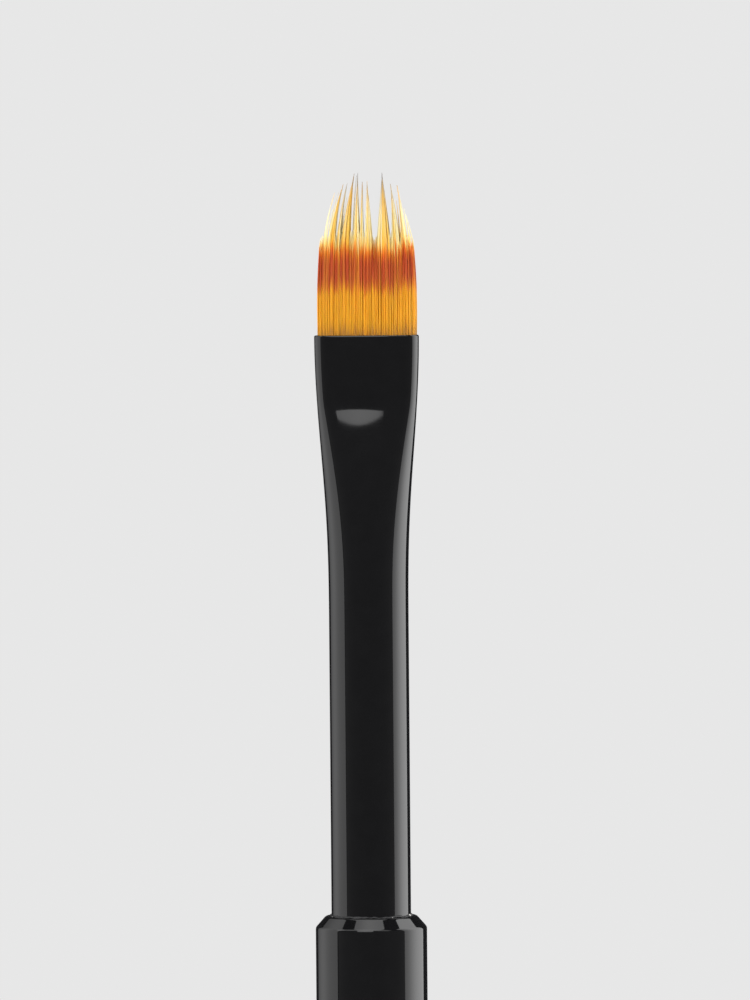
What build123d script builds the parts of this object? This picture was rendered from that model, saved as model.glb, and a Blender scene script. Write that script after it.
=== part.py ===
"""Flat comb brush for nail gel and acrylic: a lacquered tube handle, a crimped ferrule and a thinned tuft.

The brush stands on its tail, tip up. +Z runs along the axis, X is the width of the tuft and Y its
thickness. The origin is the centre of the tail face. All lengths are millimetres.
"""

import os
from math import asin, cos, hypot, sin

from build123d import *

# ---------------------------------------------------------------- driving dimensions

# Handle: a round tube, turned at the front and closed at the back by a pressed-in plug.
handle_length = 130.0
handle_radius = 3.5
handle_bore_radius = 2.55
front_chamfer_height = 0.72
front_land_width = 0.36

# Tail plug: its head is as wide as the tube, and its stem is pressed into the bore.
plug_head_height = 1.2
plug_edge_round = 0.6
plug_stem_length = 7.0
plug_stem_lead = 0.4
parting_line = 0.06

# Ferrule: a thin drawn tube, round where it is glued in and pressed flat at the mouth.
ferrule_radius = 2.5
ferrule_wall = 0.2
ferrule_visible_length = 36.5
ferrule_glued_length = 12.0
mouth_half_width = 3.295
mouth_half_thickness = 1.22
oval_squareness = 0.106
least_out_of_round = 0.001

# The width eases back to round over the whole crimp. The faces stay parallel for a short flat first.
crimp_length = 19.0
crimp_step = 0.5
flat_length = 4.5
face_bend_softness = 1.0
face_blend_length = 11.5

# Hair: filaments bound at the root, set in epoxy, and standing out of the mouth.
hair_clearance = 0.07
root_depth = 16.0
root_collar_top = 13.0
root_radius = 2.0
root_waist_radius = 1.78
root_waist_depths = (15.4, 14.2)
epoxy_depths = (20.5, 14.0)
epoxy_clearance = 0.02
glue_line = 0.005

# Binding thread: a few turns pulled tight round the waist of the root.
thread_radius = 0.1
thread_pitch = 0.24
thread_turns = 4

# Flexing line: the tuft swings on a fixed half-round knuckle that stands in for bending filaments.
pivot_above_mouth = 0.6
knuckle_radius = 0.88
socket_radius = 1.0

# Tuft: its sides draw in a little towards the thinned line, and its faces taper to the tips.
tuft_half_thickness = 0.95
thinned_line = 6.0
root_spread = 1.037
thinned_half_thickness = 0.5
lock_gap = 0.02
tip_half_width = 0.05
tip_half_thickness = 0.06

# Long pointed locks, left to right: centre and width at the thinned line, tip offset, tip height.
long_locks = [
    (-2.69, 0.46, -1.83, 9.2),
    (-2.10, 0.30, -1.33, 9.5),
    (-1.62, 0.20, -1.09, 9.6),
    (-1.16, 0.44, -0.64, 10.2),
    (-0.52, 0.26, -0.41, 10.2),
    (-0.18, 0.18, -0.15, 9.7),
    (0.30, 0.30, 0.17, 9.7),
    (1.16, 0.66, 1.08, 10.2),
    (1.83, 0.26, 1.61, 9.5),
    (2.30, 0.24, 1.98, 9.4),
    (2.78, 0.28, 2.41, 8.2),
]

# Short locks fill the spaces between the long ones, and their cut ends step up and down.
short_lock_heights = (6.3, 6.6)

# ---------------------------------------------------------------- derived heights

mouth_height = handle_length + ferrule_visible_length
ferrule_foot_height = handle_length - ferrule_glued_length
crimp_start_height = mouth_height - crimp_length
pivot_height = mouth_height + pivot_above_mouth

os.makedirs("parts", exist_ok=True)


def write(builder, name):
    """Label a finished piece and write it as its own STEP file."""
    builder.part.label = name
    export_step(builder.part, f"parts/{name}.step")


# ---------------------------------------------------------------- section shapes


def crimp_half_width(depth):
    """Outer half width of the ferrule at a depth below the mouth."""
    flare = (1 - (depth / crimp_length) ** 2) ** 4
    return ferrule_radius + (mouth_half_width - ferrule_radius) * flare


def crimp_half_thickness(depth):
    """Outer half thickness at a depth below the mouth: parallel flats, then a run-out to round."""
    past_flat = depth - flat_length
    run_out = (past_flat + hypot(past_flat, face_bend_softness)) / 2
    along_blend = min(run_out / face_blend_length, 1)
    return ferrule_radius - (ferrule_radius - mouth_half_thickness) * (1 - along_blend) ** 2


def oval(half_width, half_thickness, height):
    """Four-arc oval at one height: two shallow faces joined by two rounded ends.

    Where the tube is round the outline stays a hair oval, so that every section has the same arcs.
    """
    half_width = max(half_width, half_thickness + least_out_of_round)
    out_of_round = half_width - half_thickness
    end_radius = half_thickness - oval_squareness * out_of_round
    k = oval_squareness
    turn = asin(2 * k * (1 + k) / (1 + 2 * k + 2 * k**2))
    x = half_width - end_radius * (1 - sin(turn))
    y = end_radius * cos(turn)
    with BuildSketch(Plane.XY.offset(height)) as section:
        with BuildLine():
            ThreePointArc((-x, y), (0, half_thickness), (x, y))
            ThreePointArc((x, y), (half_width, 0), (x, -y))
            ThreePointArc((x, -y), (0, -half_thickness), (-x, -y))
            ThreePointArc((-x, -y), (-half_width, 0), (-x, y))
        make_face()
    return section.sketch


def crimp_sections(inset, deepest=crimp_length, shallowest=0.0):
    """Sections of the crimped cone, drawn in from the outside by an inset."""
    steps = round((deepest - shallowest) / crimp_step)
    depths = [deepest - i * (deepest - shallowest) / steps for i in range(steps + 1)]
    return [
        oval(crimp_half_width(d) - inset, crimp_half_thickness(d) - inset, mouth_height - d)
        for d in depths
    ]


def slab(x_centre, half_width, half_thickness, height):
    """Rectangle across the tuft at one height."""
    with BuildSketch(Plane.XY.offset(height)) as section:
        with Locations((x_centre, 0)):
            Rectangle(2 * half_width, 2 * half_thickness)
    return section.sketch


# ---------------------------------------------------------------- handle

chamfer_foot_height = handle_length - front_chamfer_height
land_radius = ferrule_radius + front_land_width

with BuildPart() as handle_tube:
    with BuildSketch(Plane.XZ):
        with BuildLine():
            Polyline(
                (handle_bore_radius, plug_head_height),
                (handle_radius - parting_line, plug_head_height),
                (handle_radius, plug_head_height + parting_line),
                (handle_radius, chamfer_foot_height),
                (land_radius, handle_length),
                (handle_bore_radius, handle_length),
                close=True,
            )
        make_face()
    revolve(axis=Axis.Z)
write(handle_tube, "handle_tube")

# The plug's head shows as the rounded tail of the handle, with a fine parting line above it.
with BuildPart() as tail_plug:
    with BuildSketch(Plane.XY):
        Circle(handle_radius)
    extrude(amount=plug_head_height)
    fillet(tail_plug.edges().group_by(Axis.Z)[0], radius=plug_edge_round)
    chamfer(tail_plug.edges().group_by(Axis.Z)[-1], length=parting_line)
    with BuildSketch(Plane.XY.offset(plug_head_height)):
        Circle(handle_bore_radius)
    extrude(amount=plug_stem_length)
    chamfer(tail_plug.edges().group_by(Axis.Z)[-1], length=plug_stem_lead)
write(tail_plug, "tail_plug")

# ---------------------------------------------------------------- ferrule

straight_length = crimp_start_height - ferrule_foot_height
ferrule_bore = ferrule_radius - ferrule_wall

with BuildPart() as ferrule:
    extrude(oval(ferrule_radius, ferrule_radius, ferrule_foot_height), amount=straight_length)
    loft(crimp_sections(inset=0))
    extrude(
        oval(ferrule_bore, ferrule_bore, ferrule_foot_height),
        amount=straight_length,
        mode=Mode.SUBTRACT,
    )
    loft(crimp_sections(inset=ferrule_wall), mode=Mode.SUBTRACT)
write(ferrule, "ferrule")

# Adhesive fills the thin space between ferrule and bore, and a bead of it stands on the land.
bead_width = 0.14
bead_height = 0.12
bond_radius = ferrule_radius + glue_line

with BuildPart() as ferrule_bond:
    with BuildSketch(Plane.XZ):
        with BuildLine():
            Polyline(
                (bond_radius, ferrule_foot_height),
                (handle_bore_radius, ferrule_foot_height),
                (handle_bore_radius, handle_length),
                (bond_radius + bead_width, handle_length),
                (bond_radius, handle_length + bead_height),
                close=True,
            )
        make_face()
    revolve(axis=Axis.Z)
write(ferrule_bond, "ferrule_bond")

# ---------------------------------------------------------------- root of the hair

hair_inset = ferrule_wall + hair_clearance
waist_low, waist_high = (mouth_height - depth for depth in root_waist_depths)
root_foot_height = mouth_height - root_depth
collar_height = mouth_height - root_collar_top
waist_slope = root_radius - root_waist_radius

# The knuckle is as wide as the hair in the mouth, and half-round across the flexing line.
with BuildPart() as knuckle:
    extrude(
        oval(mouth_half_width - hair_inset, mouth_half_thickness - hair_inset, mouth_height),
        amount=pivot_above_mouth + knuckle_radius,
    )
    with BuildSketch(Plane.YZ):
        with Locations((0, mouth_height)):
            Rectangle(2 * knuckle_radius, 2 * pivot_above_mouth)
        with Locations((0, pivot_height)):
            Circle(knuckle_radius)
    extrude(amount=mouth_half_width, both=True, mode=Mode.INTERSECT)

# The bundle is round at its bound root and follows the inside of the crimp up to the mouth.
with BuildPart() as hair_root:
    with BuildSketch(Plane.XZ):
        with BuildLine():
            Polyline(
                (0, root_foot_height),
                (root_radius, root_foot_height),
                (root_radius, waist_low - waist_slope),
                (root_waist_radius, waist_low),
                (root_waist_radius, waist_high),
                (root_radius, waist_high + waist_slope),
                (root_radius, collar_height),
                (0, collar_height),
                close=True,
            )
        make_face()
    revolve(axis=Axis.Z)
    loft(crimp_sections(inset=hair_inset, deepest=root_collar_top))
    add(knuckle.part)
write(hair_root, "hair_root")

# The thread lies in the waist of the root as one tight coil.
thread_height = thread_pitch * thread_turns
thread_start = (waist_low + waist_high - thread_height) / 2

with BuildPart() as binding_thread:
    with BuildLine() as coil:
        Helix(
            pitch=thread_pitch,
            height=thread_height,
            radius=root_waist_radius + thread_radius,
            center=(0, 0, thread_start),
        )
    with BuildSketch(Plane(origin=coil.line @ 0, z_dir=coil.line % 0)):
        Circle(thread_radius)
    sweep(path=coil.line, is_frenet=True)
write(binding_thread, "binding_thread")

# The epoxy is a plug below the root with a low rim round it, and it seals the ferrule.
epoxy_foot, epoxy_rim = (mouth_height - depth for depth in epoxy_depths)
epoxy_radius = ferrule_bore - epoxy_clearance

with BuildPart() as root_epoxy:
    with BuildSketch(Plane.XY.offset(epoxy_foot)):
        Circle(epoxy_radius)
    extrude(amount=epoxy_rim - epoxy_foot)
    with BuildSketch(Plane.XY.offset(root_foot_height)):
        Circle(root_radius + epoxy_clearance)
    extrude(amount=epoxy_rim - root_foot_height, mode=Mode.SUBTRACT)
write(root_epoxy, "root_epoxy")

# ---------------------------------------------------------------- tuft


def lock(centre, width, tip, tip_height, end_half_width, end_half_thickness):
    """One lock of filaments: a tapering slab from the flexing line to its end, hollowed for the knuckle."""
    half_width = (width - lock_gap) / 2
    with BuildPart() as piece:
        loft(
            [
                slab(
                    root_spread * centre,
                    root_spread * half_width,
                    tuft_half_thickness,
                    pivot_height,
                ),
                slab(centre, half_width, thinned_half_thickness, mouth_height + thinned_line),
                slab(tip, end_half_width, end_half_thickness, mouth_height + tip_height),
            ],
            ruled=True,
        )
        with BuildSketch(Plane.YZ):
            with Locations((0, pivot_height)):
                Circle(socket_radius)
        extrude(amount=2 * mouth_half_width, both=True, mode=Mode.SUBTRACT)
    return piece


def lock_lean(long_lock):
    """Sideways lean of a long lock above the thinned line, per millimetre of height."""
    centre, _, tip, tip_height = long_lock
    return (tip - centre) / (tip_height - thinned_line)


for number, (centre, width, tip, tip_height) in enumerate(long_locks, start=1):
    piece = lock(centre, width, tip, tip_height, tip_half_width, tip_half_thickness)
    write(piece, f"long_lock_{number:02d}")

# Each short lock spans from the right edge of one long lock to the left edge of the next.
for number, (left, right) in enumerate(zip(long_locks, long_locks[1:]), start=1):
    left_edge = left[0] + left[1] / 2
    right_edge = right[0] - right[1] / 2
    centre = (left_edge + right_edge) / 2
    width = right_edge - left_edge
    tip_height = short_lock_heights[number % 2]
    lean = (lock_lean(left) + lock_lean(right)) / 2
    piece = lock(
        centre,
        width,
        tip=centre + lean * (tip_height - thinned_line),
        tip_height=tip_height,
        end_half_width=0.25 * width,
        end_half_thickness=0.6 * thinned_half_thickness,
    )
    write(piece, f"short_lock_{number:02d}")
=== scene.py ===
# %% [markdown]
# # A flat comb brush for nail gel
#
# The brush is a black lacquered tube handle, a black ferrule that is pressed flat at its mouth, and a
# short flat tuft of amber filaments. The tuft is dyed red-brown across its middle and thinned above
# the dye into separate pointed locks.
#
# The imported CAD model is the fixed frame. It gives every height and every moving body. The looks are
# made here around it: turned parts with a spin, the ferrule with one ring drawn up the crimp, and the
# hair as more than a thousand separate tapered filaments, because a solid block never reads as hair.

from math import acos, asin, atan2, cos, exp, hypot, pi, radians, sin, tan
from random import Random

import bmesh
import bpy
from mathutils import Matrix, Vector, noise


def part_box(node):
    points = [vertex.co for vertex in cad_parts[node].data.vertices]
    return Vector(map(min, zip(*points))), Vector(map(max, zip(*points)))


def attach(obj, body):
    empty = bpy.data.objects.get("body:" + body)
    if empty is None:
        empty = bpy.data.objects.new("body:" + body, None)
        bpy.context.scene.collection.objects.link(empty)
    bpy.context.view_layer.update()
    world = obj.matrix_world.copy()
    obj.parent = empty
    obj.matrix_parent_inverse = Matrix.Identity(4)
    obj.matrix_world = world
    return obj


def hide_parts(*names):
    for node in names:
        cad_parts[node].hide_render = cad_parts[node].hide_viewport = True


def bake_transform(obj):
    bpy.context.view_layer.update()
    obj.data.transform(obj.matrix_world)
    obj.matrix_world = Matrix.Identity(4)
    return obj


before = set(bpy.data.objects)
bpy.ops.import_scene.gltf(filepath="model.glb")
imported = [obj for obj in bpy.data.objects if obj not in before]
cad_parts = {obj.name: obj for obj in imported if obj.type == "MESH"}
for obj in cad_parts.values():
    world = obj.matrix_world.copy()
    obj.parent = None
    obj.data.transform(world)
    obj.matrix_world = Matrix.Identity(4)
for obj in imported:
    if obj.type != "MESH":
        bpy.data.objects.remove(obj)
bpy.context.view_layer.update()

mm = 0.001

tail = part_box("tail_plug")[0].z
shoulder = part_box("handle_tube")[1].z
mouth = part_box("ferrule")[1].z
tips = max(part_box(node)[1].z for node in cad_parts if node.startswith("long_lock"))
print(f"handle {shoulder / mm:.1f} mm, ferrule to {mouth / mm:.1f} mm, tips at {tips / mm:.1f} mm")

# %% [markdown]
# ## Small helpers for meshes
#
# Every finished piece is an object at the origin with its place in its mesh, so that a pattern on
# Object coordinates stays where it is. Smooth shading needs sharp edges kept at real corners, so the
# helper marks an edge sharp where two faces meet at a large angle.

# %% Make an object from a bmesh
corner_angle = radians(35)


def finish_piece(bm, name, material):
    """Turn a bmesh into a shaded object at the origin, and print its size."""
    bmesh.ops.remove_doubles(bm, verts=bm.verts, dist=1e-7)
    bmesh.ops.recalc_face_normals(bm, faces=bm.faces)
    mesh = bpy.data.meshes.new(name)
    bm.to_mesh(mesh)
    bm.free()
    mesh.shade_smooth()
    mesh.set_sharp_from_angle(angle=corner_angle)
    mesh.materials.append(material)
    piece = bpy.data.objects.new(name, mesh)
    bpy.context.scene.collection.objects.link(piece)
    size = " x ".join(f"{d / mm:.2f}" for d in piece.dimensions)
    print(f"{name}: {len(mesh.polygons)} faces, {size} mm")
    return piece


# %% [markdown]
# ## Materials
#
# The handle and the ferrule share one kind of finish, black lacquer that is sprayed and baked hard. Its
# colour is almost nothing, and all that shows is its gloss. A real sprayed coat isn't optically flat,
# so a very low, wide bump gives the edges of its reflections a slight wander, and a fine noise in the
# roughness stands for handling haze.


# %% A helper that starts a node material
def new_material(name):
    """A node material, with its tree and its Principled shader."""
    material = bpy.data.materials.new(name)
    material.use_nodes = True
    tree = material.node_tree
    shader = tree.nodes["Principled BSDF"]
    return material, tree, shader


def add_noise(tree, coordinates, scale, detail=3.0, stretch=(1, 1, 1)):
    """A noise on Object coordinates. Stretch below 1 draws the pattern out along that axis."""
    mapping = tree.nodes.new("ShaderNodeMapping")
    mapping.inputs["Scale"].default_value = stretch
    texture = tree.nodes.new("ShaderNodeTexNoise")
    texture.inputs["Scale"].default_value = scale
    texture.inputs["Detail"].default_value = detail
    tree.links.new(coordinates, mapping.inputs["Vector"])
    tree.links.new(mapping.outputs["Vector"], texture.inputs["Vector"])
    return texture.outputs["Fac"]


def map_range(tree, value, low, high):
    """Spread a 0 to 1 pattern between two numbers."""
    node = tree.nodes.new("ShaderNodeMapRange")
    node.inputs["To Min"].default_value = low
    node.inputs["To Max"].default_value = high
    tree.links.new(value, node.inputs["Value"])
    return node.outputs["Result"]


def mix_colours(tree, factor, first, second, blend="MIX"):
    """Mix two colours or colour sockets by a factor or a socket."""
    node = tree.nodes.new("ShaderNodeMix")
    node.data_type = "RGBA"
    node.blend_type = blend
    for name, value in (("Factor", factor), ("A", first), ("B", second)):
        socket = next(s for s in node.inputs if s.name == name and (s.type == "RGBA") == (name != "Factor"))
        if isinstance(value, bpy.types.NodeSocket):
            tree.links.new(value, socket)
        else:
            socket.default_value = value
    return next(s for s in node.outputs if s.type == "RGBA")


def add_bump(tree, shader, height, strength, distance):
    """Bump the surface by a height pattern."""
    node = tree.nodes.new("ShaderNodeBump")
    node.inputs["Strength"].default_value = strength
    node.inputs["Distance"].default_value = distance
    tree.links.new(height, node.inputs["Height"])
    tree.links.new(node.outputs["Normal"], shader.inputs["Normal"])


def tint(red, green, blue):
    """A colour from its 0 to 255 display values, as the linear light that a shader wants."""
    channels = [c / 255 for c in (red, green, blue)]
    linear = [c / 12.92 if c <= 0.04045 else ((c + 0.055) / 1.055) ** 2.4 for c in channels]
    return (*linear, 1.0)


# %% Black lacquer
def black_lacquer(name, roughness):
    """Gloss black lacquer with a faint sprayed unevenness."""
    material, tree, shader = new_material(name)
    place = tree.nodes.new("ShaderNodeTexCoord").outputs["Object"]
    haze = add_noise(tree, place, scale=900, detail=4)
    shade = mix_colours(tree, haze, (0.0020, 0.0020, 0.0022, 1), (0.0036, 0.0036, 0.0039, 1))
    tree.links.new(shade, shader.inputs["Base Color"])
    tree.links.new(map_range(tree, haze, roughness * 0.8, roughness * 1.25), shader.inputs["Roughness"])
    shader.inputs["IOR"].default_value = 1.5
    sprayed = add_noise(tree, place, scale=260, detail=2, stretch=(1, 1, 0.35))
    add_bump(tree, shader, sprayed, strength=0.25, distance=0.004 * mm)
    return material


handle_lacquer = black_lacquer("handle_lacquer", roughness=0.05)
ferrule_lacquer = black_lacquer("ferrule_lacquer", roughness=0.045)
print("lacquers ready")

# %% [markdown]
# The bead of glue at the shoulder is black too, but it cured in the open: it is dull and uneven. Its
# pale specks are painted glints, light caught on tiny lumps of the glue.


# %% Adhesive, epoxy and thread
def cured_adhesive():
    """Black adhesive with rare pale specks, painted on as glints of light."""
    material, tree, shader = new_material("cured_adhesive")
    place = tree.nodes.new("ShaderNodeTexCoord").outputs["Object"]
    lumps_and_glints = add_noise(tree, place, scale=2600, detail=2)
    # The pale stops of this ramp are painted glints of light on the lumpy glue.
    painted_glints = tree.nodes.new("ShaderNodeValToRGB")
    painted_glints.color_ramp.elements[0].position = 0.66
    painted_glints.color_ramp.elements[0].color = (0.012, 0.012, 0.013, 1)
    painted_glints.color_ramp.elements[1].position = 0.72
    painted_glints.color_ramp.elements[1].color = (0.45, 0.44, 0.42, 1)
    tree.links.new(lumps_and_glints, painted_glints.inputs["Fac"])
    tree.links.new(painted_glints.outputs["Color"], shader.inputs["Base Color"])
    shader.inputs["Roughness"].default_value = 0.55
    add_bump(tree, shader, lumps_and_glints, strength=0.9, distance=0.04 * mm)
    return material


def amber_epoxy():
    """Cured epoxy, cloudy amber."""
    material, tree, shader = new_material("amber_epoxy")
    place = tree.nodes.new("ShaderNodeTexCoord").outputs["Object"]
    cloud = add_noise(tree, place, scale=700, detail=4)
    amber = mix_colours(tree, cloud, tint(150, 96, 40), tint(205, 150, 82))
    tree.links.new(amber, shader.inputs["Base Color"])
    shader.inputs["Roughness"].default_value = 0.22
    add_bump(tree, shader, cloud, strength=0.3, distance=0.02 * mm)
    return material


def twisted_thread():
    """Off-white thread with a slanting twist."""
    material, tree, shader = new_material("twisted_thread")
    place = tree.nodes.new("ShaderNodeTexCoord").outputs["Object"]
    twist = tree.nodes.new("ShaderNodeTexWave")
    twist.inputs["Scale"].default_value = 3200
    twist.inputs["Distortion"].default_value = 2.0
    twist.bands_direction = "DIAGONAL"
    tree.links.new(place, twist.inputs["Vector"])
    strand = twist.outputs["Fac"]
    off_white = mix_colours(tree, strand, tint(176, 166, 146), tint(226, 220, 204))
    tree.links.new(off_white, shader.inputs["Base Color"])
    shader.inputs["Roughness"].default_value = 0.85
    shader.inputs["Sheen Weight"].default_value = 0.3
    add_bump(tree, shader, strand, strength=0.5, distance=0.02 * mm)
    return material


def dress_node(node, material):
    """Give a carried-over CAD node a material in place of its plain one."""
    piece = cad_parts[node]
    piece.data.materials.clear()
    piece.data.materials.append(material)


adhesive = cured_adhesive()
dress_node("root_epoxy", amber_epoxy())
dress_node("binding_thread", twisted_thread())
print("adhesive, epoxy and thread ready")

# %% [markdown]
# ## Turned parts
#
# The handle is a tube turned on a lathe, so it is made as a lathe makes it: an outline of radius and
# height is spun once round the axis. Each real corner then gets a small round with a bevel, because a
# lacquered edge is never sharp and its round is what catches the thin bright line. A ring cut close
# to each round keeps the smooth shading of the long straight wall true.

# %% The lathe
lathe_steps = 128


def spin_outline(outline):
    """Spin a closed outline of (radius, height) points round the axis of the brush."""
    bm = bmesh.new()
    corners = [bm.verts.new((r, 0, z)) for r, z in outline]
    for here, there in zip(corners, corners[1:] + corners[:1]):
        bm.edges.new((here, there))
    bmesh.ops.spin(
        bm,
        geom=bm.verts[:] + bm.edges[:],
        cent=(0, 0, 0),
        axis=(0, 0, 1),
        angle=2 * pi,
        steps=lathe_steps,
        use_merge=True,
    )
    bmesh.ops.remove_doubles(bm, verts=bm.verts, dist=1e-7)
    return bm


def round_ring(bm, radius, height, width, segments=3):
    """Bevel the circular edge at a radius and height."""

    def on_ring(vert):
        return abs(hypot(vert.co.x, vert.co.y) - radius) < 1e-6 and abs(vert.co.z - height) < 1e-6

    ring = [edge for edge in bm.edges if on_ring(edge.verts[0]) and on_ring(edge.verts[1])]
    bmesh.ops.bevel(
        bm,
        geom=ring,
        offset=width,
        offset_type="OFFSET",
        affect="EDGES",
        segments=segments,
        profile=0.5,
        material=-1,
    )


def cut_ring(bm, height):
    """Add a ring of edges at one height."""
    geom = bm.verts[:] + bm.edges[:] + bm.faces[:]
    bmesh.ops.bisect_plane(bm, geom=geom, dist=1e-9, plane_co=(0, 0, height), plane_no=(0, 0, 1))


# %% [markdown]
# The front of the handle is chamfered at about 45 degrees, down to a narrow land round the ferrule.

# %% The handle tube
handle_radius = 3.5 * mm
bore_radius = 2.55 * mm
ferrule_radius = 2.5 * mm
land_width = 0.36 * mm
chamfer_height = 0.72 * mm
plug_head = 1.2 * mm
parting = 0.06 * mm
edge_round = 0.1 * mm
guard = 0.1 * mm


def make_handle_tube():
    """The lacquered tube, from the tail plug's head to the chamfered shoulder."""
    land_radius = ferrule_radius + land_width
    foot = tail + plug_head
    chamfer_foot = shoulder - chamfer_height
    bm = spin_outline(
        [
            (bore_radius, foot),
            (handle_radius - parting, foot),
            (handle_radius, foot + parting),
            (handle_radius, chamfer_foot),
            (land_radius, shoulder),
            (bore_radius, shoulder),
        ]
    )
    round_ring(bm, handle_radius, chamfer_foot, edge_round)
    round_ring(bm, land_radius, shoulder, edge_round)
    round_ring(bm, bore_radius, shoulder, edge_round / 2, segments=2)
    for height in (chamfer_foot - guard, chamfer_foot + guard, shoulder - guard, foot + parting + guard):
        cut_ring(bm, height)
    return finish_piece(bm, "handle_shell", handle_lacquer)


handle = make_handle_tube()
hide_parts("handle_tube")
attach(handle, "handle")

# %% [markdown]
# The tail plug is a turned stopper. Its head is as wide as the tube and well rounded, with a small
# flat in the middle that the brush can be stood on in a holder.

# %% The tail plug
plug_round = 0.6 * mm
plug_stem = 7.0 * mm
plug_lead = 0.4 * mm


def make_tail_plug():
    """Rounded head and plain stem."""
    head_top = tail + plug_head
    stem_top = head_top + plug_stem
    bm = spin_outline(
        [
            (0, tail),
            (handle_radius, tail),
            (handle_radius, head_top - parting),
            (handle_radius - parting, head_top),
            (bore_radius, head_top),
            (bore_radius, stem_top - plug_lead),
            (bore_radius - plug_lead, stem_top),
            (0, stem_top),
        ]
    )
    round_ring(bm, handle_radius, tail, plug_round, segments=8)
    return finish_piece(bm, "tail_stopper", handle_lacquer)


plug = make_tail_plug()
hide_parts("tail_plug")
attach(plug, "handle")

# %% [markdown]
# ## The ferrule
#
# A real ferrule starts as a round tube, and a press flattens its mouth. Its girth doesn't change, so
# each point of the wall moves along with the outline. The model does the same: one ring of points is
# extruded up the tube, and at each depth it takes the outline that the press leaves there, an oval of
# two shallow face arcs and two tight end arcs. The rim is rounded, and the wall comes back down inside.

# %% The outline of the crimp
crimp_length = 19.0 * mm
flat_length = 4.25 * mm
bend_softness = 0.2 * mm
face_blend = 11.5 * mm
mouth_half_width = 3.295 * mm
mouth_half_thickness = 1.22 * mm
squareness = 0.106
wall = 0.2 * mm


def crimp_half_width(depth):
    """Half width of the ferrule at a depth below the mouth."""
    flare = max(1 - (depth / crimp_length) ** 2, 0) ** 4
    return ferrule_radius + (mouth_half_width - ferrule_radius) * flare


def crimp_half_thickness(depth):
    """Half thickness at a depth: flat near the mouth, then a bend, then a long run-out to round."""
    past_flat = depth - flat_length
    run_out = (past_flat + hypot(past_flat, bend_softness)) / 2
    along = min(run_out / face_blend, 1)
    return ferrule_radius - (ferrule_radius - mouth_half_thickness) * (1 - along) ** 2


def oval_point(turn, half_width, half_thickness):
    """The point a share of the girth round a four-arc oval. A turn of 0 is at +X."""
    k = squareness
    out_of_round = half_width - half_thickness
    end_radius = half_thickness - k * out_of_round
    face_radius = half_thickness + out_of_round * (1 + 2 * k) / (2 * k)
    face_angle = asin(2 * k * (1 + k) / (1 + 2 * k + 2 * k**2))
    face_length = face_radius * face_angle
    end_length = end_radius * (pi / 2 - face_angle)
    from_face_centre = acos(min(abs(sin(turn)), 1)) / (pi / 2) * (face_length + end_length)
    if from_face_centre < face_length:
        angle = from_face_centre / face_radius
        x = face_radius * sin(angle)
        y = half_thickness - face_radius * (1 - cos(angle))
    else:
        angle = face_angle + (from_face_centre - face_length) / end_radius
        x = half_width - end_radius * (1 - sin(angle))
        y = end_radius * cos(angle)
    return (x if cos(turn) >= 0 else -x), (y if sin(turn) >= 0 else -y)


# %% Draw one ring up the ferrule and down inside
ferrule_sides = 240
ring_step = 0.25 * mm
inner_step = 1.0 * mm
inner_rings = 20
rim_round = 0.09 * mm
glued_length = 12.0 * mm


def ferrule_rings():
    """Depth and inset of each ring: up the outside, over the rim, and down the inside."""
    foot = mouth - (shoulder - glued_length)
    steps = round(crimp_length / ring_step)
    quarter = [radians(a) for a in (0, 22.5, 45, 67.5, 90)]
    rings = [(foot, 0), (crimp_length + ring_step, 0)]
    rings += [(crimp_length - i * ring_step, 0) for i in range(steps)]
    rings += [(rim_round * (1 - sin(a)), rim_round * (1 - cos(a))) for a in quarter]
    rings += [(rim_round * (1 - cos(a)), wall - rim_round * (1 - sin(a))) for a in quarter]
    rings += [(i * inner_step, wall) for i in range(1, inner_rings)]
    rings += [(foot, wall)]
    return rings


def make_ferrule():
    """The drawn and pressed tube."""
    bm = bmesh.new()
    turn = bm.verts.layers.float.new("turn")
    bmesh.ops.create_circle(bm, segments=ferrule_sides, radius=1.0)
    for vert in bm.verts:
        vert[turn] = atan2(vert.co.y, vert.co.x)

    def shape(verts, depth, inset):
        half_width = crimp_half_width(depth) - inset
        half_thickness = crimp_half_thickness(depth) - inset
        for vert in verts:
            x, y = oval_point(vert[turn], half_width, half_thickness)
            vert.co = (x, y, mouth - depth)

    rings = ferrule_rings()
    first = bm.edges[:]
    last = first
    shape(bm.verts, *rings[0])
    for depth, inset in rings[1:]:
        made = bmesh.ops.extrude_edge_only(bm, edges=last)["geom"]
        fresh = {item for item in made if isinstance(item, bmesh.types.BMVert)}
        last = [e for e in made if isinstance(e, bmesh.types.BMEdge) and fresh.issuperset(e.verts)]
        shape(fresh, depth, inset)
    bmesh.ops.bridge_loops(bm, edges=first + last)
    return finish_piece(bm, "ferrule_shell", ferrule_lacquer)


ferrule = make_ferrule()
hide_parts("ferrule")
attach(ferrule, "handle")

# %% [markdown]
# Glue fills the thin gap between ferrule and handle, and a small uneven bead of it stands on the
# land. It is turned like the handle, and the free surface of the bead is then pushed about a little
# with a noise, because a bead that squeezed out by itself is never even.

# %% The bond and its bead
bead_width = 0.12 * mm
bead_height = 0.10 * mm
bead_wander = 0.05 * mm


def make_bond():
    """Sleeve of glue with a lumpy bead at the shoulder."""
    foot = shoulder - glued_length
    bm = spin_outline(
        [
            (ferrule_radius, foot),
            (bore_radius, foot),
            (bore_radius, shoulder),
            (ferrule_radius + bead_width, shoulder + 0.01 * mm),
            (ferrule_radius + 0.7 * bead_width, shoulder + 0.6 * bead_height),
            (ferrule_radius, shoulder + bead_height),
        ]
    )
    for vert in bm.verts:
        if vert.co.z > shoulder + 0.005 * mm:
            wide, fine = noise.noise(vert.co / (0.5 * mm)), noise.noise(vert.co / (0.17 * mm))
            lump = (wide + 0.7 * fine) * bead_wander
            outward = Vector((vert.co.x, vert.co.y, 0)).normalized()
            vert.co += outward * lump + Vector((0, 0, lump))
    return finish_piece(bm, "bond_bead", adhesive)


bond = make_bond()
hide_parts("ferrule_bond")
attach(bond, "handle")

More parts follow.
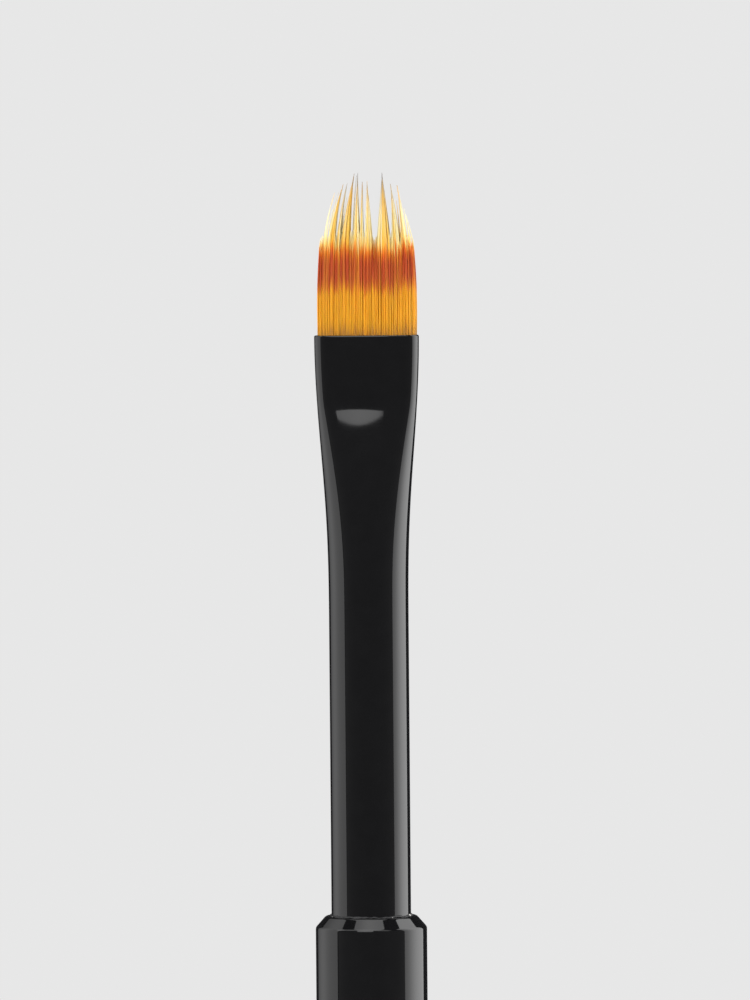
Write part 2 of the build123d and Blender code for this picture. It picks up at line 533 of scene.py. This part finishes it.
# %% [markdown]
# ## The filament finish
#
# The filaments are extruded from clear amber polyester. The tuft is dipped in dye so that a band
# turns red-brown, and the ends above the band stay pale gold. Capillary action draws the dye further
# along some filaments than others, which gives the band its spiky edges. So the colour is read from
# the height along the filament, shifted by an amount of its own for each filament, and every filament
# carries five numbers in its mesh:
#
# * `rise`, the height above the mouth,
# * `wick`, how much further the dye crept along this filament,
# * `dye`, how much dye it took up,
# * `gilt`, whether its end stayed golden or was bleached pale,
# * `tone`, how light it is.

# %% Colours along a filament
reach = tips - mouth


def fill_ramp(node, stops):
    """Set a colour ramp from (height in millimetres, colour) stops."""
    ramp = node.color_ramp
    ramp.elements.remove(ramp.elements[1])
    for index, (height, colour) in enumerate(stops):
        position = height * mm / reach
        element = ramp.elements[0] if index == 0 else ramp.elements.new(position)
        element.position = position
        element.color = colour


# The darker first stop, right at the mouth, is painted shade where the ferrule's rim shadows the hair
# roots.
shaded_amber_foot = [
    (0.0, tint(200, 146, 60)),
    (0.35, tint(222, 164, 46)),
    (1.0, tint(236, 181, 42)),
]
dipped = shaded_amber_foot + [
    (2.6, tint(236, 178, 42)),
    (3.0, tint(220, 134, 46)),
    (3.5, tint(203, 94, 48)),
    (4.6, tint(204, 88, 45)),
    (5.0, tint(220, 110, 42)),
    (5.35, tint(236, 150, 42)),
]
undipped = shaded_amber_foot + [
    (3.0, tint(236, 168, 48)),
    (4.4, tint(228, 150, 54)),
    (5.2, tint(238, 176, 62)),
]
golden_end = [
    (5.75, tint(242, 200, 76)),
    (7.0, tint(243, 214, 112)),
    (8.7, tint(236, 196, 92)),
    (9.4, tint(204, 170, 116)),
    (10.0, tint(126, 118, 112)),
]
pale_end = [
    (5.75, tint(246, 225, 142)),
    (6.3, tint(249, 242, 198)),
    (7.8, tint(247, 242, 212)),
    (9.0, tint(222, 214, 190)),
    (10.0, tint(146, 140, 136)),
]


def read_number(tree, name):
    """A number that each filament carries in its mesh."""
    node = tree.nodes.new("ShaderNodeAttribute")
    node.attribute_name = name
    return node.outputs["Fac"]


def combine(tree, operation, first, second):
    """Join two numbers or number sockets."""
    node = tree.nodes.new("ShaderNodeMath")
    node.operation = operation
    for socket, value in zip(node.inputs, (first, second)):
        if isinstance(value, bpy.types.NodeSocket):
            tree.links.new(value, socket)
        else:
            socket.default_value = value
    return node.outputs["Value"]


# %% [markdown]
# Light goes through a filament as well as off it. Without that, the narrow gaps between filaments
# turn black and the tuft looks like wire. A share of the light is therefore passed on by a
# Translucent shader of the same colour.

# %% The dyed filament
passed_on = 0.54


def dyed_filament():
    """Amber filament with a wicked band of dye and golden or bleached ends."""
    material, tree, shader = new_material("dyed_filament")
    place = tree.nodes.new("ShaderNodeTexCoord").outputs["Object"]
    height = combine(tree, "ADD", read_number(tree, "rise"), read_number(tree, "wick"))
    looks = []
    for stops in (dipped + pale_end, dipped + golden_end, undipped + pale_end):
        ramp = tree.nodes.new("ShaderNodeValToRGB")
        fill_ramp(ramp, stops)
        tree.links.new(height, ramp.inputs["Fac"])
        looks.append(ramp.outputs["Color"])
    bleached, golden, undyed = looks
    ended = mix_colours(tree, read_number(tree, "gilt"), bleached, golden)
    colour = mix_colours(tree, read_number(tree, "dye"), undyed, ended)
    streak = add_noise(tree, place, scale=2400, detail=2, stretch=(1, 1, 0.06))
    light = combine(tree, "MULTIPLY", read_number(tree, "tone"), map_range(tree, streak, 0.91, 1.09))
    grey = tree.nodes.new("ShaderNodeCombineColor")
    for channel in grey.inputs:
        tree.links.new(light, channel)
    shaded = mix_colours(tree, 1.0, colour, grey.outputs["Color"], blend="MULTIPLY")
    tree.links.new(shaded, shader.inputs["Base Color"])
    shader.inputs["Roughness"].default_value = 0.36
    shader.inputs["IOR"].default_value = 1.45
    glow = tree.nodes.new("ShaderNodeBsdfTranslucent")
    tree.links.new(shaded, glow.inputs["Color"])
    both = tree.nodes.new("ShaderNodeMixShader")
    both.inputs["Fac"].default_value = passed_on
    tree.links.new(shader.outputs["BSDF"], both.inputs[1])
    tree.links.new(glow.outputs["BSDF"], both.inputs[2])
    tree.links.new(both.outputs["Shader"], tree.nodes["Material Output"].inputs["Surface"])
    return material


filament_finish = dyed_filament()
print("filament finish ready")

# %% [markdown]
# ## The hair
#
# Each filament is one open curve whose points carry their own radius, so it can taper to a needle
# point as the real ones do. A curve with a bevel is turned into a four-sided tube, which is enough for
# something a tenth of a millimetre thick. All filaments have the same number of points, so the
# numbers that each one carries are easy to lay on the mesh afterwards. One point is hidden in the
# ferrule, and the others are closest together just above the mouth, where the hair will bend.

# %% Turn filament paths into one mesh
bend_length = 2.4 * mm
bend_steps = 5
straight_steps = 6
points_per_filament = 1 + (bend_steps + 1) + straight_steps
tube_sides = 4
carried = ("wick", "dye", "gilt", "tone")


def filament_piece(name, filaments, material):
    """One mesh of tapered tubes. Each filament is (points, radii, carried numbers by name)."""
    curve = bpy.data.curves.new(name, "CURVE")
    curve.dimensions = "3D"
    curve.bevel_depth = 1.0
    curve.bevel_resolution = 0
    for points, radii, _ in filaments:
        spline = curve.splines.new("POLY")
        spline.points.add(len(points) - 1)
        for knot, place, radius in zip(spline.points, points, radii):
            knot.co = (*place, 1.0)
            knot.radius = radius
    drawn = bpy.data.objects.new(name + "_paths", curve)
    bpy.context.scene.collection.objects.link(drawn)
    mesh = bpy.data.meshes.new_from_object(drawn.evaluated_get(bpy.context.evaluated_depsgraph_get()))
    bpy.data.objects.remove(drawn)
    bpy.data.curves.remove(curve)
    mesh.name = name

    rise = [(vert.co.z - mouth) / reach for vert in mesh.vertices]
    mesh.attributes.new("rise", "FLOAT", "POINT").data.foreach_set("value", rise)
    for label in carried:
        corners = range(points_per_filament * tube_sides)
        values = [numbers[label] for *_, numbers in filaments for _ in corners]
        mesh.attributes.new(label, "FLOAT", "POINT").data.foreach_set("value", values)

    bm = bmesh.new()
    bm.from_mesh(mesh)
    bmesh.ops.holes_fill(bm, edges=bm.edges, sides=tube_sides)
    bmesh.ops.recalc_face_normals(bm, faces=bm.faces)
    bm.to_mesh(mesh)
    bm.free()
    mesh.shade_smooth()
    mesh.materials.clear()
    mesh.materials.append(material)
    piece = bpy.data.objects.new(name, mesh)
    bpy.context.scene.collection.objects.link(piece)
    print(f"{name}: {len(filaments)} filaments, {len(mesh.polygons)} faces")
    return piece


# %% [markdown]
# The outside of the tuft is settled before any filament is placed: it fills the oval of the mouth,
# draws in towards the thinned line, and gets thinner from the side until it is a knife edge at the
# tips. The thinned line itself dips a little at both sides.

# %% The outside of the tuft
tuft_half_width = 3.06 * mm
tuft_half_thickness = 0.97 * mm
corner_power = 3.0
root_spread = 1.037
hidden_root = 2.4 * mm


def tuft_thickness(x):
    """Half thickness of the tuft at the mouth, at a distance from the middle."""
    across = min(abs(x) / (tuft_half_width + 0.05 * mm), 1)
    return tuft_half_thickness * (1 - across**corner_power) ** (1 / corner_power)


def side_taper(height):
    """How far the faces have closed in at a height above the mouth."""
    up = min(max(height / reach, 0), 1)
    return 1 - 0.12 * up - 0.78 * up**1.7


def thinned_line(x):
    """Height at which the thinning shears cut. It dips at the sides and at the one wide gap."""
    sides = 0.45 * mm * (abs(x) / tuft_half_width) ** 4
    wide_gap = 0.55 * mm * exp(-(((x - 0.56 * mm) / (0.16 * mm)) ** 2))
    return 6.0 * mm - sides - wide_gap


# %% [markdown]
# The locks are the ones of the frame. A long lock is a sheaf of filaments that lean together, more
# and more towards the tip, and only some of its filaments go all the way up: the thinning shears cut
# the others at the line. Between the long locks are the short ones, where nearly all are cut. Every
# long lock is given here as its middle, its width, where its tip stands, the share of its filaments
# that were left long, and the share of those that stayed golden.

# %% The locks
long_locks = [
    (-2.70, 0.42, -1.85, 0.04, 0.0),
    (-2.12, 0.40, -1.37, 0.56, 0.5),
    (-1.69, 0.26, -1.12, 0.34, 0.2),
    (-1.24, 0.46, -0.67, 0.80, 0.8),
    (-0.56, 0.32, -0.46, 0.74, 0.8),
    (-0.22, 0.20, -0.18, 0.52, 0.6),
    (0.19, 0.42, 0.11, 0.60, 0.3),
    (1.14, 0.78, 1.06, 0.80, 0.9),
    (1.90, 0.44, 1.58, 0.46, 0.4),
    (2.42, 0.32, 2.00, 0.42, 0.4),
    (2.84, 0.36, 2.32, 0.05, 0.0),
]
spacing = 0.080 * mm
filament_radius = 0.046 * mm
needle_share = 0.2
taper_length = 3.0 * mm
leaders = 7


def point_heights(end):
    """Heights above the mouth of a filament's points: one hidden, then the bend, then the straight."""
    bend = [bend_length * step / bend_steps for step in range(bend_steps + 1)]
    shares = [step / straight_steps for step in range(1, straight_steps + 1)]
    straight = [bend_length + (end - bend_length) * share for share in shares]
    return [-hidden_root, *bend, *straight]


def filament_path(lock, across, through, end, bow):
    """Points and radii of one filament of a lock, from inside the ferrule to its end."""
    centre, width, lean, lock_height = lock
    offset = across * width / 2
    band_x = centre + offset
    y = through * tuft_thickness(band_x * root_spread)
    line = thinned_line(band_x)
    points, radii = [], []
    for height in point_heights(end):
        low = min(max(height / line, 0), 1)
        high = min(max((height - line) / (lock_height - line), 0), 1)
        x = band_x * (root_spread + (1 - root_spread) * low**2)
        x += lean * (0.5 * high + 0.5 * high**2) - offset * (1 - (1 - high) ** 1.05)
        x += bow * sin(pi * low) * (1 - high)
        points.append((x, y * side_taper(height), mouth + height))
        left = max(end - height, 0) / taper_length
        radii.append(filament_radius * max(min(left, 1) ** 0.6, needle_share))
    return points, radii


def carried_numbers(x, golden, draw):
    """What a filament carries. The dye crept in patches a few filaments wide, with a jitter of its own."""
    patch = noise.noise(Vector((x / (0.3 * mm), 0.7, 0)))
    took = noise.noise(Vector((x / (0.16 * mm), 5.3, 0)))
    dye = min(max(0.92 + 0.95 * took + draw.gauss(0, 0.16), 0.1), 1.0)
    return {
        "wick": (0.34 * patch + draw.gauss(0, 0.2)) * mm / reach,
        "dye": dye,
        "gilt": 1.0 if golden else draw.uniform(0, 0.3),
        "tone": draw.gauss(1.0, 0.04),
    }


def grow_lock(name, lock, long_share, gold_share, draw):
    """Fill a lock with filaments on a jittered, staggered grid."""
    centre, width, lean, lock_height = lock
    columns = max(1, round(width / spacing))
    rows = round(2 * tuft_thickness(centre) / spacing)
    filaments = []
    for row in range(rows):
        for column in range(columns):
            shift = 0.5 * (row % 2) + draw.uniform(-0.3, 0.3)
            across = (2 * (column + 0.25 + shift) / columns - 1) if columns > 1 else draw.uniform(-1, 1)
            through = 2 * (row + draw.uniform(0.1, 0.9)) / rows - 1
            line = thinned_line(centre + across * width / 2)
            kept_long = draw.random() < long_share
            if kept_long:
                end = line + (lock_height - line) * (1 - 0.22 * across**2) * draw.uniform(0.72, 1)
            else:
                end = line + draw.uniform(-0.6, 0.6) * mm
            golden = kept_long and draw.random() < gold_share + 0.4 * (0.5 - abs(across))
            path = filament_path(lock, across, through, end, draw.gauss(0, 0.025) * mm)
            filaments.append((*path, carried_numbers(path[0][0][0], golden, draw)))
    if long_share > 0.3:
        for _ in range(leaders):
            across, through = draw.uniform(-0.35, 0.35), draw.uniform(-0.9, 0.9)
            path = filament_path(lock, across, through, lock_height * draw.uniform(0.965, 1.0), 0)
            filaments.append((*path, carried_numbers(path[0][0][0], gold_share > 0.3, draw)))
    return filament_piece(name, filaments, filament_finish)


# %% [markdown]
# As the tuft flexes, the hair can't move at the mouth, because the ferrule grips it. Each lock here
# stands in place of its node, which is hidden, and is kept with the other locks.

# %% Grow every lock where its node stands
wide_gap_lock = 7
lock_pieces = []


def settle_lock(piece, node):
    """A lock stands for its node, which is hidden, and joins the list of locks."""
    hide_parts(node)
    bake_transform(piece)
    lock_pieces.append(piece)


lock_heights = [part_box(f"long_lock_{n:02d}")[1].z - mouth for n in range(1, len(long_locks) + 1)]

for number, (centre, width, tip, long_share, gold_share) in enumerate(long_locks, start=1):
    lock = (centre * mm, width * mm, (tip - centre) * mm, lock_heights[number - 1])
    piece = grow_lock(f"long_sheaf_{number:02d}", lock, long_share, gold_share, Random(100 + number))
    settle_lock(piece, f"long_lock_{number:02d}")

for number, (left, right) in enumerate(zip(long_locks, long_locks[1:]), start=1):
    left_edge, right_edge = left[0] + left[1] / 2, right[0] - right[1] / 2
    centre, width = (left_edge + right_edge) / 2, right_edge - left_edge
    lean = (left[2] - left[0] + right[2] - right[0]) / 2
    lock = (centre * mm, width * mm, lean * mm, min(lock_heights[number - 1 : number + 1]))
    long_share = 0.0 if number == wide_gap_lock else 0.03
    piece = grow_lock(f"short_sheaf_{number:02d}", lock, long_share, 0.2, Random(200 + number))
    settle_lock(piece, f"short_lock_{number:02d}")

print(f"{len(lock_pieces)} locks")

# %% [markdown]
# Inside the ferrule the hair is one bound bundle, round at its root and flattened towards the mouth.
# It doesn't show, but the frame has it as a solid, so it is drawn as a sheaf of coarser strands.

# %% The bound root
root_depth = 16.0 * mm
root_radius = 1.72 * mm
strand_radius = 0.13 * mm
strand_rings = 6


def make_bound_root():
    """Coarse strands on rings, from the bound root up to just below the mouth."""
    draw = Random(7)
    strands = []
    for ring in range(strand_rings + 1):
        count = max(1, 6 * ring)
        for place in range(count):
            turn = 2 * pi * place / count + ring
            inward = ring / strand_rings
            points, radii = [], []
            for index in range(points_per_filament):
                depth = root_depth - (root_depth - 1.2 * mm) * index / (points_per_filament - 1)
                room = wall + 2 * strand_radius
                bound = min(max((depth - 12.0 * mm) / (1.5 * mm), 0), 1)
                half_width = (crimp_half_width(depth) - room) * (1 - bound) + root_radius * bound
                half_thickness = (crimp_half_thickness(depth) - room) * (1 - bound) + root_radius * bound
                x = cos(turn) * inward * half_width
                y = sin(turn) * inward * half_thickness
                points.append((x, y, mouth - depth))
                radii.append(strand_radius)
            numbers = {"wick": 0.0, "dye": 0.0, "gilt": 0.0, "tone": draw.gauss(0.96, 0.05)}
            strands.append((points, radii, numbers))
    return filament_piece("bound_root", strands, filament_finish)


root = make_bound_root()
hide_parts("hair_root")
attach(root, "handle")

# %% [markdown]
# ## The studio
#
# The brush stands on a round pale floor under a half dome. The floor near the brush is matte: it
# shows the light of the soft boxes and takes a soft shadow. Further out the surface only glows, about
# as bright as the lit matte part, so there is no horizon.

# %% Floor and dome
dome_radius = 5.0
dome_brightness = 0.8
matte_white = 0.24
matte_glow = 0.28
matte_radius = (0.1, 0.46)


def studio_surface():
    """Matte near the brush, and an even glow of the same brightness further out."""
    material, tree, shader = new_material("studio_pale")
    place = tree.nodes.new("ShaderNodeTexCoord").outputs["Object"]
    distance = tree.nodes.new("ShaderNodeVectorMath")
    distance.operation = "LENGTH"
    tree.links.new(place, distance.inputs[0])
    near = tree.nodes.new("ShaderNodeMapRange")
    near.interpolation_type = "SMOOTHSTEP"
    near.inputs["From Min"].default_value, near.inputs["From Max"].default_value = matte_radius
    near.inputs["To Min"].default_value, near.inputs["To Max"].default_value = 1.0, 0.0
    tree.links.new(distance.outputs["Value"], near.inputs["Value"])
    nearness = near.outputs["Result"]
    matte = mix_colours(tree, nearness, (0, 0, 0, 1), (matte_white,) * 3 + (1,))
    tree.links.new(matte, shader.inputs["Base Color"])
    glow = mix_colours(tree, nearness, (dome_brightness,) * 3 + (1,), (matte_glow,) * 3 + (1,))
    tree.links.new(glow, shader.inputs["Emission Color"])
    shader.inputs["Emission Strength"].default_value = 1.0
    shader.inputs["Roughness"].default_value = 1.0
    shader.inputs["Specular IOR Level"].default_value = 0.0
    material.cycles.emission_sampling = "NONE"
    return material


def make_studio():
    """A round floor under a half dome."""
    bm = bmesh.new()
    bmesh.ops.create_uvsphere(bm, u_segments=96, v_segments=48, radius=dome_radius)
    geom = bm.verts[:] + bm.edges[:] + bm.faces[:]
    bmesh.ops.bisect_plane(bm, geom=geom, plane_co=(0, 0, 0), plane_no=(0, 0, 1), clear_inner=True)
    rim = [edge for edge in bm.edges if edge.is_boundary]
    bmesh.ops.contextual_create(bm, geom=rim)
    bmesh.ops.translate(bm, verts=bm.verts, vec=(0, 0, tail - 0.02 * mm))
    dome = finish_piece(bm, "studio_dome", studio_surface())
    dome.visible_glossy = False


make_studio()

world = bpy.data.worlds.new("studio_dark")
world.use_nodes = True
world.node_tree.nodes["Background"].inputs["Color"].default_value = (0.03, 0.03, 0.032, 1)
bpy.context.scene.world = world

# %% [markdown]
# Gloss black shows only what it mirrors, so the soft boxes are its looks, and the dome is hidden from
# reflections. Two tall boxes stand a little behind the brush on the left and on the right, which
# draws a long clean strip down each side of the tube. They reach high enough to show on the chamfer
# too. One box hangs overhead, for the middle of the chamfer and for the rim of the ferrule. One
# stands high in front and shows where the ferrule bends. A large dim panel in front lifts the black.
#
# A box's brightness is what the lacquer mirrors, so each light is given as a brightness and a size,
# and its power follows: brightness times area times pi. A real soft box is brightest in its middle
# and falls off to its edges, and a colour ramp across each light gives it that.
#
# The last light is for the hair. It is hidden from reflections, because the lacquer would mirror it.

# %% Soft boxes
camera_azimuth = 4.5
light_distance = 0.5
work_height = mouth - 20 * mm


def soft_box(name, azimuth, elevation, across, up, levels, tilt=0.0, mirrored=True):
    """An area light that faces the brush.

    Azimuth and elevation say where it stands, from the camera's side. Across and up are its edges, in
    degrees from that direction. Levels are its brightness from its first edge over its middle to its
    second edge, in order of azimuth. Tilt turns it in its own plane.
    """
    turn, lift = radians(camera_azimuth + azimuth), radians(elevation)
    out = Vector((sin(turn) * cos(lift), -cos(turn) * cos(lift), sin(lift)))
    roll = Matrix.Rotation(radians(-tilt), 3, out)
    sideways = roll @ Vector((cos(turn), sin(turn), 0))
    upward = roll @ Vector((-sin(turn) * sin(lift), cos(turn) * sin(lift), cos(lift)))
    x0, x1, y0, y1 = (light_distance * tan(radians(edge)) for edge in (*across, *up))
    light = bpy.data.lights.new(name, "AREA")
    light.shape = "RECTANGLE"
    light.size, light.size_y = x1 - x0, y1 - y0
    light.energy = max(levels) * light.size * light.size_y * pi
    light.use_nodes = True
    tree = light.node_tree
    place = tree.nodes.new("ShaderNodeTexCoord")
    parts = tree.nodes.new("ShaderNodeSeparateXYZ")
    ramp = tree.nodes.new("ShaderNodeValToRGB")
    ramp.color_ramp.interpolation = "EASE"
    ramp.color_ramp.elements.new(0.5)
    for stop, level in zip(ramp.color_ramp.elements, levels):
        stop.color = (level / max(levels),) * 3 + (1,)
    tree.links.new(place.outputs["UV"], parts.inputs["Vector"])
    tree.links.new(parts.outputs["X"], ramp.inputs["Fac"])
    tree.links.new(ramp.outputs["Color"], tree.nodes["Emission"].inputs["Color"])
    box = bpy.data.objects.new(name, light)
    facing = Matrix((sideways, upward, out)).transposed().to_4x4()
    middle = out * light_distance + sideways * (x0 + x1) / 2 + upward * (y0 + y1) / 2
    box.matrix_world = Matrix.Translation(Vector((0, 0, work_height)) + middle) @ facing
    box.visible_glossy = mirrored
    bpy.context.scene.collection.objects.link(box)
    print(f"{name}: {light.energy:.2f} W")


soft_box("left_box", azimuth=-112, elevation=0, across=(-33, 37), up=(-45, 55), levels=(0.35, 1.25, 1.3))
soft_box("right_box", azimuth=104, elevation=0, across=(-31, 31), up=(-45, 56), levels=(1.7, 3.2, 2.1))
soft_box("overhead_box", azimuth=0, elevation=90, across=(-22, 17), up=(-30, 25), levels=(1.6, 2.3, 2.0))
soft_box("canopy", azimuth=-20, elevation=60, across=(-50, 45), up=(-12, 12), levels=(1.2, 1.6, 1.2))
soft_box(
    "high_front_box",
    azimuth=-13,
    elevation=36,
    across=(-16.5, 13.9),
    up=(-14.2, 15),
    levels=(2.2, 2.5, 2.3),
    tilt=-5,
)
soft_box("front_panel", azimuth=0, elevation=-5, across=(-73, 73), up=(-50, 48), levels=(0.2, 0.09, 0.2))
soft_box(
    "hair_fill",
    azimuth=0,
    elevation=12,
    across=(-35, 35),
    up=(-30, 30),
    levels=(2.4, 2.4, 2.4),
    mirrored=False,
)

# %% [markdown]
# ## The camera
#
# A long lens from a good distance keeps the sides of the tube parallel. The camera looks at the
# brush from just above the middle of the view, turned a few degrees off the flat face, and rolled by
# less than half a degree.

# %% Camera
view_height = 62.8 * mm
camera_distance = 0.6
camera_elevation = 2.0
camera_roll = 0.48
aim_above = mouth - 10.36 * mm
aim_aside = 0.45 * mm


def place_camera():
    """Long-lens camera on the flat face of the brush."""
    turn, lift = radians(camera_azimuth), radians(camera_elevation)
    back = Vector((sin(turn) * cos(lift), -cos(turn) * cos(lift), sin(lift)))
    aside = Vector((cos(turn), sin(turn), 0))
    data = bpy.data.cameras.new("brush_camera")
    data.sensor_width = 36.0
    data.lens = data.sensor_width * camera_distance / view_height
    data.clip_start, data.clip_end = 0.01, 50.0
    camera = bpy.data.objects.new("brush_camera", data)
    facing = back.to_track_quat("Z", "Y").to_matrix().to_4x4()
    camera.matrix_world = (
        Matrix.Translation(Vector((0, 0, aim_above)) + aside * aim_aside + back * camera_distance)
        @ facing
        @ Matrix.Rotation(radians(-camera_roll), 4, "Z")
    )
    bpy.context.scene.collection.objects.link(camera)
    bpy.context.scene.camera = camera
    print(f"camera lens {data.lens:.0f} mm")


place_camera()
bpy.context.scene.view_settings.view_transform = "Standard"
